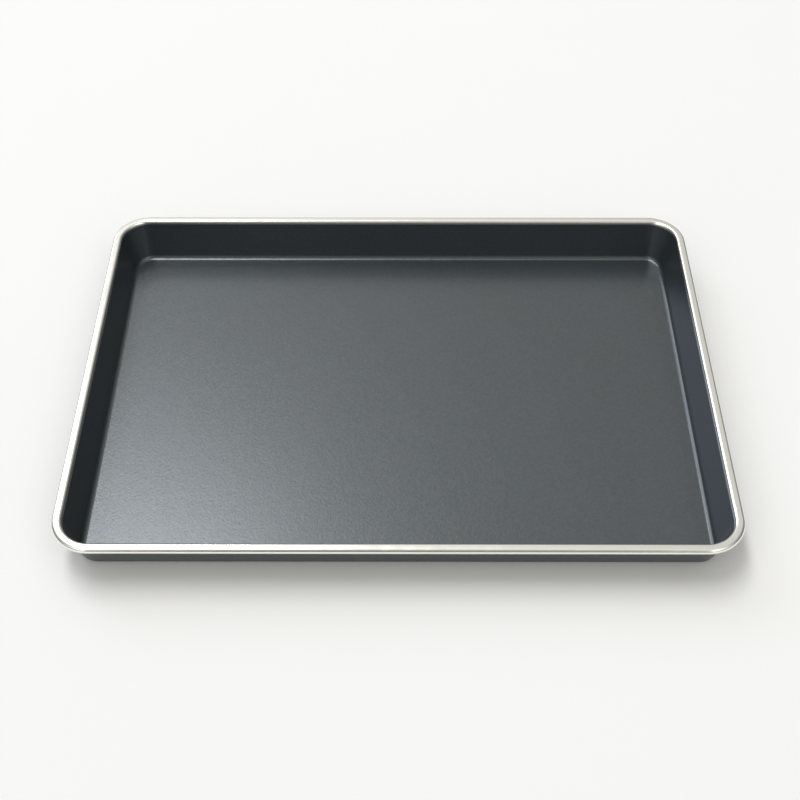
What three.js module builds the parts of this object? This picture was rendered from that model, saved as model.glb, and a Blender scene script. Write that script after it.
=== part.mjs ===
// Rimmed baking pan of half-sheet size.
// A tray is pressed from one sheet of metal. Its top edge is curled over a round
// steel wire, and a bright metal band is rolled over that curl to make the rim. The roll is
// pressed flat on its top and underside.
// Millimetres, +Z up. The origin is under the middle of the base.
import * as THREE from 'three';
import { toCreasedNormals } from 'three/addons/utils/BufferGeometryUtils.js';

// The whole pan
const LENGTH = 457; // over the rim, along X
const WIDTH = 330; // over the rim, along Y
const HEIGHT = 33.5; // from the base to the top of the rim

// The pressed tray
const SHEET_THICKNESS = 0.8;
const WALL_DRAFT_DEG = 14.5; // how far the walls lean out from upright
const FLOOR_FILLET = 4; // inside bend from floor to wall
const FLOOR_CORNER_RADIUS = 10.5; // plan corner of the flat floor
const CURL_END_DEG = -30; // free edge of the curl, below level on the outside

// The rolled rim
const WIRE_DIAMETER = 1.8;
const WIRE_BUTT_GAP = 1; // between the two ends of the wire
const BAND_THICKNESS = 0.4;
const BAND_LEG_LENGTH = 1; // the straight part, down the inside of the wall
const BAND_EDGE_GAP = 0.3; // from the band's lower edge to the outside of the wall
const ROLL_FLAT_LENGTH = 2.3; // across the flat top and the flat underside of the roll
const ROLL_CLEARANCE = 0.15; // from wire to curl, and from curl to band

// Facets
const CORNER_STEPS = 12; // along each plan corner
const ARC_STEP_DEG = 15; // along each arc of a section
const CREASE_DEG = 30; // sharper edges than this stay sharp to the eye

const draft = THREE.MathUtils.degToRad(WALL_DRAFT_DEG);
const curlEnd = THREE.MathUtils.degToRad(CURL_END_DEG);
const quarterTurn = Math.PI / 2;

// Radii of the rolled rim, from the wire out to the band
const wireRadius = WIRE_DIAMETER / 2;
const curlInner = wireRadius + ROLL_CLEARANCE;
const curlOuter = curlInner + SHEET_THICKNESS;
const bandInner = curlOuter + ROLL_CLEARANCE;
const bandOuter = bandInner + BAND_THICKNESS;

// A section is drawn with x running outwards from the axis of the plan corner, and y as height.
// The wall is tangent to the floor's fillet and to the roll, so those two centres set its run.
// The roll turns about one centre next to the wall and about another one further out.
const wallFacing = Math.PI - draft;
const filletCentre = new THREE.Vector2(FLOOR_CORNER_RADIUS, SHEET_THICKNESS + FLOOR_FILLET);
const rimHeight = HEIGHT - bandOuter;
const wallRise = rimHeight - filletCentre.y;
const wallRun = (curlOuter + FLOOR_FILLET + Math.sin(draft) * wallRise) / Math.cos(draft);
const rollStart = new THREE.Vector2(filletCentre.x + wallRun, rimHeight);
const rollEnd = new THREE.Vector2(rollStart.x + ROLL_FLAT_LENGTH, rimHeight);

// Axes of the four plan corners, which every section shares
const rimCornerRadius = rollEnd.x + bandOuter;
const cornerX = LENGTH / 2 - rimCornerRadius;
const cornerY = WIDTH / 2 - rimCornerRadius;

// Points along an arc of a section, both ends included
function arc(centre, radius, from, to) {
  const steps = Math.ceil(Math.abs(to - from) / THREE.MathUtils.degToRad(ARC_STEP_DEG));
  const clockwise = to < from;
  return new THREE.EllipseCurve(centre.x, centre.y, radius, radius, from, to, clockwise).getPoints(steps);
}

// Points along the roll's outline at a radius: arcs about its two centres, with flats between them
function rollOutline(radius, from, to) {
  const bends = [-quarterTurn, quarterTurn].filter((angle) => angle > Math.min(from, to) && angle < Math.max(from, to));
  if (to < from) bends.reverse();
  const ends = [from, ...bends, to];
  return ends.slice(1).flatMap((end, index) => {
    const start = ends[index];
    const nextToWall = Math.abs(start + end) > Math.PI;
    return arc(nextToWall ? rollStart : rollEnd, radius, start, end);
  });
}

// Stations round one plan corner: the corner's axis and the way out from it
function cornerStations(quarter) {
  const start = quarter * quarterTurn;
  const middle = start + quarterTurn / 2;
  const x = Math.sign(Math.cos(middle)) * cornerX;
  const y = Math.sign(Math.sin(middle)) * cornerY;
  const stations = [];
  for (let step = 0; step <= CORNER_STEPS; step += 1) {
    stations.push({ x, y, outward: start + (quarterTurn * step) / CORNER_STEPS });
  }
  return stations;
}

// A flat face over a ring of vertices, drawn anticlockwise as seen from outside unless flipped
function capFaces(ring, outline, flipped) {
  const triangles = THREE.ShapeUtils.triangulateShape(outline, []);
  return triangles.map(([a, b, c]) => (flipped ? [ring[a], ring[c], ring[b]] : [ring[a], ring[b], ring[c]]));
}

// Sweeps an anticlockwise section along stations that run anticlockwise seen from above.
// An open section closes with two level faces, and an open path with its two end faces.
function sweep(section, stations, { openSection = false, openPath = false }) {
  const columns = section.length;
  const rows = stations.length;
  const vertex = (row, column) => (row % rows) * columns + (column % columns);
  const positions = stations.flatMap(({ x, y, outward }) => section.flatMap((point) => [
    x + point.x * Math.cos(outward),
    y + point.x * Math.sin(outward),
    point.y,
  ]));

  const faces = [];
  for (let row = 0; row < rows - (openPath ? 1 : 0); row += 1) {
    for (let column = 0; column < columns - (openSection ? 1 : 0); column += 1) {
      const near = vertex(row, column);
      const far = vertex(row + 1, column);
      const nearNext = vertex(row, column + 1);
      const farNext = vertex(row + 1, column + 1);
      faces.push([near, far, farNext], [near, farNext, nearNext]);
    }
  }

  if (openSection) {
    for (const column of [0, columns - 1]) {
      const ring = stations.map((_, row) => vertex(row, column));
      const outline = ring.map((index) => new THREE.Vector2(positions[3 * index], positions[3 * index + 1]));
      faces.push(...capFaces(ring, outline, column === 0));
    }
  }
  if (openPath) {
    for (const row of [0, rows - 1]) {
      const ring = section.map((_, column) => vertex(row, column));
      faces.push(...capFaces(ring, section, row > 0));
    }
  }

  const geometry = new THREE.BufferGeometry();
  geometry.setAttribute('position', new THREE.Float32BufferAttribute(positions, 3));
  geometry.setIndex(faces.flat());
  return toCreasedNormals(geometry, THREE.MathUtils.degToRad(CREASE_DEG));
}

const wholeRim = [0, 1, 2, 3].flatMap(cornerStations);

// The pressed tray: floor, bend, leaning wall and the curl that grips the wire.
// The section starts under the floor, goes up the outside and comes back down the inside.
function trayShell() {
  const section = [
    ...arc(filletCentre, FLOOR_FILLET + SHEET_THICKNESS, -quarterTurn, -draft),
    ...rollOutline(curlInner, wallFacing, curlEnd),
    ...rollOutline(curlOuter, curlEnd, wallFacing),
    ...arc(filletCentre, FLOOR_FILLET, -draft, -quarterTurn),
  ];
  return sweep(section, wholeRim, { openSection: true });
}

// The bright band: a short leg on the inside of the wall, then a roll over the top and
// round underneath, where its edge stops just short of the wall's outside.
function rimBand() {
  const lowerEdge = wallFacing + Math.acos((curlInner - BAND_EDGE_GAP) / bandOuter) - 2 * Math.PI;
  const downTheWall = new THREE.Vector2(-Math.sin(draft), -Math.cos(draft)).multiplyScalar(BAND_LEG_LENGTH);
  const outside = rollOutline(bandOuter, lowerEdge, wallFacing);
  const inside = rollOutline(bandInner, wallFacing, lowerEdge);
  const legFront = outside.at(-1).clone().add(downTheWall);
  const legBack = inside[0].clone().add(downTheWall);
  return sweep([...outside, legFront, legBack, ...inside], wholeRim, {});
}

// The wire: one length bent round the pan, with its ends meeting in the middle of the back
function rimWire() {
  const section = arc(rollEnd, wireRadius, 0, 2 * Math.PI).slice(0, -1);
  const halfGap = WIRE_BUTT_GAP / 2;
  const bends = [1, 2, 3, 0].flatMap(cornerStations);
  const start = { x: -halfGap, y: cornerY, outward: quarterTurn };
  const end = { x: halfGap, y: cornerY, outward: quarterTurn };
  return sweep(section, [start, ...bends, end], { openPath: true });
}

const bakingPan = new THREE.Group();
bakingPan.name = 'baking_pan';

function addPiece(name, geometry, finish) {
  const piece = new THREE.Mesh(geometry, new THREE.MeshStandardMaterial(finish));
  piece.name = name;
  bakingPan.add(piece);
}

// Non-stick coated sheet, bright rolled metal, and dull galvanised wire
addPiece('tray_shell', trayShell(), { color: '#4b5055', roughness: 0.45, metalness: 0.3 });
addPiece('rim_band', rimBand(), { color: '#d9dadb', roughness: 0.2, metalness: 1 });
addPiece('rim_wire', rimWire(), { color: '#9da1a4', roughness: 0.5, metalness: 1 });

export default bakingPan;
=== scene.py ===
import math

import bmesh
import bpy
from mathutils import Matrix, Vector


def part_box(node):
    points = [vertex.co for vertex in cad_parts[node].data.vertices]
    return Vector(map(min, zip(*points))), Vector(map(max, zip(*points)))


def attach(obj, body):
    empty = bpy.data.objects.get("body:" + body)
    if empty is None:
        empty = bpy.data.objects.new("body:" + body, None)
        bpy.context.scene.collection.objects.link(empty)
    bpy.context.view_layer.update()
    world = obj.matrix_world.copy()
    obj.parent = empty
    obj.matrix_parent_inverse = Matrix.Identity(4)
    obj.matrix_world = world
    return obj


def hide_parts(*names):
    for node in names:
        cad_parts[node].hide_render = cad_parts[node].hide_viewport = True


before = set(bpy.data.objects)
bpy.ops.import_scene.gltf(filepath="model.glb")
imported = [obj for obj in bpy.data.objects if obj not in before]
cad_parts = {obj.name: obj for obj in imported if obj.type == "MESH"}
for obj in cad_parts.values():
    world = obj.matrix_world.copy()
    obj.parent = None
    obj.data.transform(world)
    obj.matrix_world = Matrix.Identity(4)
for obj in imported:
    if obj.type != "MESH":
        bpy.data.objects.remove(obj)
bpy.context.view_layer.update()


# The tray is pressed from one sheet of steel: flat floor, small bend, leaning walls and
# drawn corners. Its top edge is curled outwards over the rim's wire. Both faces are
# sprayed with dark non-stick and baked.
MM = 0.001
rim_low, rim_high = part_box("rim_band")
rim_radius = (rim_high.z - rim_low.z) / 2
roll_flat = 2.3 * MM
band_thickness = 0.4 * MM
roll_clearance = 0.15 * MM
sheet_thickness = 0.8 * MM
floor_fillet = 4.0 * MM
floor_corner = 10.5 * MM
floor_inset = 5 * MM
wall_draft = math.radians(14.5)
curl_end = math.radians(-30)
quarter_turn = math.pi / 2
corner_steps = 32
fillet_steps = 12
roll_step = math.radians(5)
crease_angle = math.radians(50)
mirror_gap = 0.01 * MM
weld_gap = 0.001 * MM

curl_outer = rim_radius - band_thickness - roll_clearance
curl_inner = curl_outer - sheet_thickness
wall_facing = math.pi - wall_draft
wall_rise = rim_high.z - rim_radius - sheet_thickness - floor_fillet
wall_run = (curl_outer + floor_fillet + math.sin(wall_draft) * wall_rise) / math.cos(wall_draft)
rim_corner = floor_corner + wall_run + roll_flat + rim_radius
corner_axis = Vector((rim_high.x - rim_corner, rim_high.y - rim_corner, 0))
fillet_centre = corner_axis + Vector((floor_corner, -corner_axis.y, sheet_thickness + floor_fillet))
rim_centre = fillet_centre + Vector((wall_run, 0, wall_rise))
roll_end = rim_centre + Vector((roll_flat, 0, 0))


def point_at(centre, radius, angle):
    """The point at an angle round a centre in the section of the +X wall, up from level."""
    return centre + radius * Vector((math.cos(angle), 0, math.sin(angle)))


def draw_to(shape, vert, place):
    """Draws a straight stretch of the section from a vertex, and returns its far end."""
    far_end = bmesh.ops.extrude_vert_indiv(shape, verts=[vert])["verts"][0]
    far_end.co = place
    return far_end


def turn_about(shape, vert, centre, sweep, steps):
    """Draws an arc of the section from a vertex, anticlockwise if sweep is positive."""
    turned = bmesh.ops.spin(shape, geom=[vert], cent=centre, axis=(0, -1, 0),
                            angle=sweep, steps=steps)
    return turned["geom_last"][0]


def follow_roll(shape, vert, radius, start, end):
    """Draws the outline of the flattened roll between two angles: arcs, with flats between."""
    stops = [angle for angle in (-quarter_turn, quarter_turn)
             if min(start, end) < angle < max(start, end)]
    stops.sort(reverse=end < start)
    angle = start
    for stop in stops + [end]:
        outside = abs(angle + stop) < math.pi
        near_centre, far_centre = (roll_end, rim_centre) if outside else (rim_centre, roll_end)
        steps = math.ceil(abs(stop - angle) / roll_step)
        vert = turn_about(shape, vert, near_centre, stop - angle, steps)
        if stop in stops:
            vert = draw_to(shape, vert, point_at(far_centre, radius, stop))
        angle = stop
    return vert


def carry_round(shape):
    """Carries the section round a quarter of the pan, and mirrors that to the other three."""
    section = shape.edges[:]
    side = bmesh.ops.extrude_edge_only(shape, edges=section)["geom"]
    moved = [item for item in side if isinstance(item, bmesh.types.BMVert)]
    bmesh.ops.translate(shape, verts=moved, vec=(0, corner_axis.y, 0))
    leading = moved + [item for item in side if isinstance(item, bmesh.types.BMEdge)
                       and all(vert in moved for vert in item.verts)]
    corner = bmesh.ops.spin(shape, geom=leading, cent=corner_axis, axis=(0, 0, 1),
                            angle=quarter_turn, steps=corner_steps)["geom_last"]
    ends = [item for item in corner if isinstance(item, bmesh.types.BMEdge)]
    back = bmesh.ops.extrude_edge_only(shape, edges=ends)["geom"]
    moved = [item for item in back if isinstance(item, bmesh.types.BMVert)]
    bmesh.ops.translate(shape, verts=moved, vec=(-corner_axis.x, 0, 0))
    for axis in ("X", "Y"):
        everything = shape.verts[:] + shape.edges[:] + shape.faces[:]
        bmesh.ops.mirror(shape, geom=everything, matrix=Matrix(), merge_dist=mirror_gap, axis=axis)
    bmesh.ops.remove_doubles(shape, verts=shape.verts[:], dist=weld_gap)
    bmesh.ops.recalc_face_normals(shape, faces=shape.faces[:])


def make_piece(shape, name, material):
    """Turns a finished shape into a smooth object of the scene, with its creases kept sharp."""
    bmesh.ops.recalc_face_normals(shape, faces=shape.faces[:])
    mesh = bpy.data.meshes.new(name)
    shape.to_mesh(mesh)
    shape.free()
    mesh.shade_smooth()
    mesh.set_sharp_from_angle(angle=crease_angle)
    mesh.materials.append(material)
    piece = bpy.data.objects.new(name, mesh)
    bpy.context.scene.collection.objects.link(piece)
    return piece


def linear(hex_colour):
    """An sRGB hex colour as the linear values that the nodes use."""
    channels = [int(hex_colour[i:i + 2], 16) / 255 for i in (1, 3, 5)]
    return [c / 12.92 if c <= 0.04045 else ((c + 0.055) / 1.055) ** 2.4 for c in channels] + [1]


def add_node(tree, kind, inputs=None, **settings):
    """Adds a node. An input is a plain value, or a (node, output name) pair to link."""
    node = tree.nodes.new(kind)
    for name, value in settings.items():
        setattr(node, name, value)
    for socket, value in (inputs or {}).items():
        if isinstance(value, tuple):
            tree.links.new(value[0].outputs[value[1]], node.inputs[socket])
        else:
            node.inputs[socket].default_value = value
    return node


# Baked non-stick: a thin, nearly black, satin film over steel. Its fine spray grain breaks
# up the light into a soft bloom, and the film is a little uneven from place to place. The
# real grain is a few tenths of a millimetre wide, and is drawn coarser so that it shows.
# The film mirrors more than a plain resin does, so its IOR is set high.
grain_size = 1.5 * MM
grain_height = 0.056 * MM
drift_size = 70 * MM
coating = bpy.data.materials.new("baked_nonstick_on_steel")
coating.use_nodes = True
tree = coating.node_tree
tree.nodes.clear()
place = add_node(tree, "ShaderNodeTexCoord")
grain = add_node(tree, "ShaderNodeTexNoise",
                 {"Vector": (place, "Object"), "Scale": 1 / grain_size, "Detail": 1.0})
drift = add_node(tree, "ShaderNodeTexNoise",
                 {"Vector": (place, "Object"), "Scale": 1 / drift_size, "Detail": 3.0})
tint = add_node(tree, "ShaderNodeMix",
                {"Factor": (drift, "Fac"), "A": linear("#262c2f"), "B": linear("#2b3236")},
                data_type="RGBA")
sheen = add_node(tree, "ShaderNodeMapRange",
                 {"Value": (grain, "Fac"), "From Min": 0.3, "From Max": 0.7,
                  "To Min": 0.276, "To Max": 0.29})
glint = add_node(tree, "ShaderNodeMix",
                 {"Factor": (grain, "Fac"), "A": linear("#cbd6db"), "B": linear("#f9fdff")},
                 data_type="RGBA")
relief = add_node(tree, "ShaderNodeBump",
                  {"Height": (grain, "Fac"), "Strength": 1.0, "Distance": grain_height})
film = add_node(tree, "ShaderNodeBsdfPrincipled",
                {"Base Color": (tint, "Result"), "Roughness": (sheen, "Result"),
                 "Normal": (relief, "Normal"), "IOR": 2.12, "Specular Tint": (glint, "Result")})
add_node(tree, "ShaderNodeOutputMaterial", {"Surface": (film, "BSDF")})

# The section is drawn from the base, up the outside of the wall, round the curl and down the
# inside to the floor. The floor's two faces then fill the middle.
tray = bmesh.new()
base_edge = tray.verts.new(point_at(fillet_centre, floor_fillet + sheet_thickness, -quarter_turn))
wall_foot = turn_about(tray, base_edge, fillet_centre, quarter_turn - wall_draft, fillet_steps)
curl_start = draw_to(tray, wall_foot, point_at(rim_centre, curl_inner, wall_facing))
curl_lip = follow_roll(tray, curl_start, curl_inner, wall_facing, curl_end)
curl_return = draw_to(tray, curl_lip, point_at(roll_end, curl_outer, curl_end))
wall_head = follow_roll(tray, curl_return, curl_outer, curl_end, wall_facing)
wall_inside = draw_to(tray, wall_head, point_at(fillet_centre, floor_fillet, -wall_draft))
turn_about(tray, wall_inside, fillet_centre, wall_draft - quarter_turn, fillet_steps)
carry_round(tray)
open_edges = [edge for edge in tray.edges if edge.is_boundary]
for height in (0, sheet_thickness):
    ring = [edge for edge in open_edges if abs(edge.verts[0].co.z - height) < mirror_gap]
    flat = bmesh.ops.contextual_create(tray, geom=ring)["faces"]
    bmesh.ops.inset_region(tray, faces=flat, thickness=floor_inset)
tray_shell = make_piece(tray, "coated_tray", coating)
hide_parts("tray_shell")
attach(tray_shell, "root")


# The wire is one length of galvanised steel, bent round the pan so that its two ends meet at
# the back, and the tray's edge is curled over it. Nothing of it shows, so the solid from
# model.glb serves.
spangle_size = 2.5 * MM

# Galvanised steel: dull grey zinc whose crystals each catch the light a little differently.
zinc = bpy.data.materials.new("galvanised_steel")
zinc.use_nodes = True
tree = zinc.node_tree
tree.nodes.clear()
place = add_node(tree, "ShaderNodeTexCoord")
spangle = add_node(tree, "ShaderNodeTexVoronoi",
                   {"Vector": (place, "Object"), "Scale": 1 / spangle_size})
tone = add_node(tree, "ShaderNodeMix",
                {"Factor": (spangle, "Distance"), "A": linear("#8f9498"), "B": linear("#b4b8ba")},
                data_type="RGBA")
zinc_skin = add_node(tree, "ShaderNodeBsdfPrincipled",
                     {"Base Color": (tone, "Result"), "Metallic": 1.0, "Roughness": 0.45})
add_node(tree, "ShaderNodeOutputMaterial", {"Surface": (zinc_skin, "BSDF")})
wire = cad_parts["rim_wire"]
wire.data.materials.clear()
wire.data.materials.append(zinc)


# The rim's band is a strip of bright metal, rolled over the tray's curl so that a short leg
# grips the inside of the wall and the rest wraps round underneath. Its ends are welded and
# dressed, so that no seam shows.
band_leg = 1.0 * MM
band_edge_gap = 0.3 * MM
band_edge_round = 0.12 * MM
band_edge_angle = math.radians(60)

# Rolled bright steel: a clean mirror-like skin with a faint haze and slight waves from the
# rolls, which soften the edges of what it reflects.
haze_size = 6 * MM
roll_wave = 18 * MM
roll_wave_height = 0.01 * MM
bright_metal = bpy.data.materials.new("rolled_bright_steel")
bright_metal.use_nodes = True
tree = bright_metal.node_tree
tree.nodes.clear()
place = add_node(tree, "ShaderNodeTexCoord")
haze = add_node(tree, "ShaderNodeTexNoise",
                {"Vector": (place, "Object"), "Scale": 1 / haze_size, "Detail": 4.0})
waves = add_node(tree, "ShaderNodeTexNoise",
                 {"Vector": (place, "Object"), "Scale": 1 / roll_wave, "Detail": 1.0})
gloss = add_node(tree, "ShaderNodeMapRange",
                 {"Value": (haze, "Fac"), "From Min": 0.3, "From Max": 0.7,
                  "To Min": 0.16, "To Max": 0.22})
relief = add_node(tree, "ShaderNodeBump",
                  {"Height": (waves, "Fac"), "Strength": 1.0, "Distance": roll_wave_height})
skin = add_node(tree, "ShaderNodeBsdfPrincipled",
                {"Base Color": linear("#f8f7ef"), "Metallic": 1.0, "Roughness": (gloss, "Result"),
                 "Normal": (relief, "Normal")})
add_node(tree, "ShaderNodeOutputMaterial", {"Surface": (skin, "BSDF")})

# The section is drawn from the lower edge, round the outside of the roll to the leg, and back
# along the inside. The strip's edges are then rounded.
band = bmesh.new()
band_inner = rim_radius - band_thickness
lower_edge = wall_facing + math.acos((curl_inner - band_edge_gap) / rim_radius) - 2 * math.pi
down_wall = band_leg * Vector((-math.sin(wall_draft), 0, -math.cos(wall_draft)))
band_start = band.verts.new(point_at(rim_centre, rim_radius, lower_edge))
leg_head = follow_roll(band, band_start, rim_radius, lower_edge, wall_facing)
leg_front = draw_to(band, leg_head, point_at(rim_centre, rim_radius, wall_facing) + down_wall)
leg_back = draw_to(band, leg_front, point_at(rim_centre, band_inner, wall_facing) + down_wall)
inner_head = draw_to(band, leg_back, point_at(rim_centre, band_inner, wall_facing))
band_end = follow_roll(band, inner_head, band_inner, wall_facing, lower_edge)
band.edges.new((band_end, band_start))
carry_round(band)
strip_edges = [edge for edge in band.edges if edge.calc_face_angle(0) > band_edge_angle]
bmesh.ops.bevel(band, geom=strip_edges, offset=band_edge_round, offset_type="OFFSET",
                affect="EDGES", segments=3, profile=0.5, material=-1)
rim_band = make_piece(band, "bright_rim", bright_metal)
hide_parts("rim_band")
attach(rim_band, "root")


# The table top that the pan stands on: plain white laminate, matt and very faintly clouded.
# It reaches far past the pan on every side.
table_reach = 12.0
cloud_size = 0.4
table_top = bmesh.new()
bmesh.ops.create_grid(table_top, x_segments=1, y_segments=1, size=table_reach)
laminate = bpy.data.materials.new("matt_white_laminate")
laminate.use_nodes = True
tree = laminate.node_tree
tree.nodes.clear()
place = add_node(tree, "ShaderNodeTexCoord")
cloud = add_node(tree, "ShaderNodeTexNoise",
                 {"Vector": (place, "Object"), "Scale": 1 / cloud_size})
white = add_node(tree, "ShaderNodeMix",
                 {"Factor": (cloud, "Fac"), "A": linear("#f6f6f4"), "B": linear("#f8f8f7")},
                 data_type="RGBA")
matt = add_node(tree, "ShaderNodeBsdfPrincipled",
                {"Base Color": (white, "Result"), "Roughness": 0.9, "Specular IOR Level": 0.1})
add_node(tree, "ShaderNodeOutputMaterial", {"Surface": (matt, "BSDF")})
table = make_piece(table_top, "table_top", laminate)


# Studio light: a pale tent, brightest in front and behind on the left, and greyer at the sides,
# low down and behind on the right, with a dark opening for the camera. A large soft box hangs
# over the pan's far left, and a cool window stands behind it on the left.
world = bpy.data.worlds.new("studio_tent")
bpy.context.scene.world = world
world.use_nodes = True
tree = world.node_tree
tree.nodes.clear()
way = add_node(tree, "ShaderNodeTexCoord")
parts = add_node(tree, "ShaderNodeSeparateXYZ", {"Vector": (way, "Generated")})
sideways = add_node(tree, "ShaderNodeMath", {0: (parts, "X")}, operation="ABSOLUTE")
behind = add_node(tree, "ShaderNodeMath", {0: (parts, "Y"), 1: 0.0}, operation="MAXIMUM")
slant = add_node(tree, "ShaderNodeMath", {0: (parts, "X"), 1: (behind, "Value")},
                 operation="MULTIPLY")

# Each fade follows one measure of the direction, between two places, from one strength to another.
fades = {"back": ((slant, "Value"), (-0.15, 0.21), (0.9, 0.62)),
         "front": ((parts, "Y"), (-0.05, -0.4), (1.0, 2.35)),
         "sides": ((sideways, "Value"), (0.25, 0.8), (1.0, 0.43)),
         "upward": ((parts, "Z"), (0.0, 0.75), (0.33, 1.0)),
         "opening_depth": ((parts, "Y"), (0.05, -0.4), (0.0, 0.8)),
         "opening_width": ((sideways, "Value"), (0.22, 0.4), (1.0, 0.0))}
strength = {}
for name, (measure, places, strengths) in fades.items():
    fade = add_node(tree, "ShaderNodeMapRange",
                    {"Value": measure, "From Min": places[0], "From Max": places[1],
                     "To Min": strengths[0], "To Max": strengths[1]},
                    interpolation_type="SMOOTHSTEP")
    strength[name] = (fade, "Result")
opening = add_node(tree, "ShaderNodeMath",
                   {0: strength["opening_depth"], 1: strength["opening_width"]},
                   operation="MULTIPLY")
level = add_node(tree, "ShaderNodeMath", {0: 1.0, 1: (opening, "Value")}, operation="SUBTRACT")
for name in ("back", "front", "sides", "upward"):
    level = add_node(tree, "ShaderNodeMath", {0: (level, "Value"), 1: strength[name]},
                     operation="MULTIPLY")
tent = add_node(tree, "ShaderNodeBackground",
                {"Color": linear("#fffefb"), "Strength": (level, "Value")})
add_node(tree, "ShaderNodeOutputWorld", {"Surface": (tent, "Background")})

soft_box_distance = 8
soft_box_light = bpy.data.lights.new("soft_box", "AREA")
soft_box_light.shape = "RECTANGLE"
soft_box_light.size = 1.6
soft_box_light.size_y = 5.9
soft_box_light.energy = 238
soft_box = bpy.data.objects.new("soft_box", soft_box_light)
soft_box.rotation_euler = (math.radians(-15.2), math.radians(-12.2), math.radians(3.7))
soft_box.location = soft_box.rotation_euler.to_matrix() @ Vector((0, 0, soft_box_distance))
bpy.context.scene.collection.objects.link(soft_box)

window_light = bpy.data.lights.new("window", "AREA")
window_light.shape = "SQUARE"
window_light.size = 2.6
window_light.energy = 53
window_light.color = linear("#e1e9fb")[:3]
window = bpy.data.objects.new("window", window_light)
window.location = (-3.33, 3.79, 3.26)
window.rotation_mode = "QUATERNION"
window.rotation_quaternion = window.location.to_track_quat("Z", "Y")
bpy.context.scene.collection.objects.link(window)


# The camera stands in front of the pan and looks down into it, through a lens a little longer
# than a normal one.
camera_data = bpy.data.cameras.new("camera")
camera_data.sensor_width = 36
camera_data.lens = 58.5
camera = bpy.data.objects.new("camera", camera_data)
camera.location = Vector((2.1, -648.0, 723.4)) * MM
look_down = math.radians(48.364)
look_left = math.radians(0.098)
camera.rotation_euler = (quarter_turn - look_down, 0, look_left)
bpy.context.scene.collection.objects.link(camera)
bpy.context.scene.camera = camera

bpy.context.scene.view_settings.view_transform = "Standard"
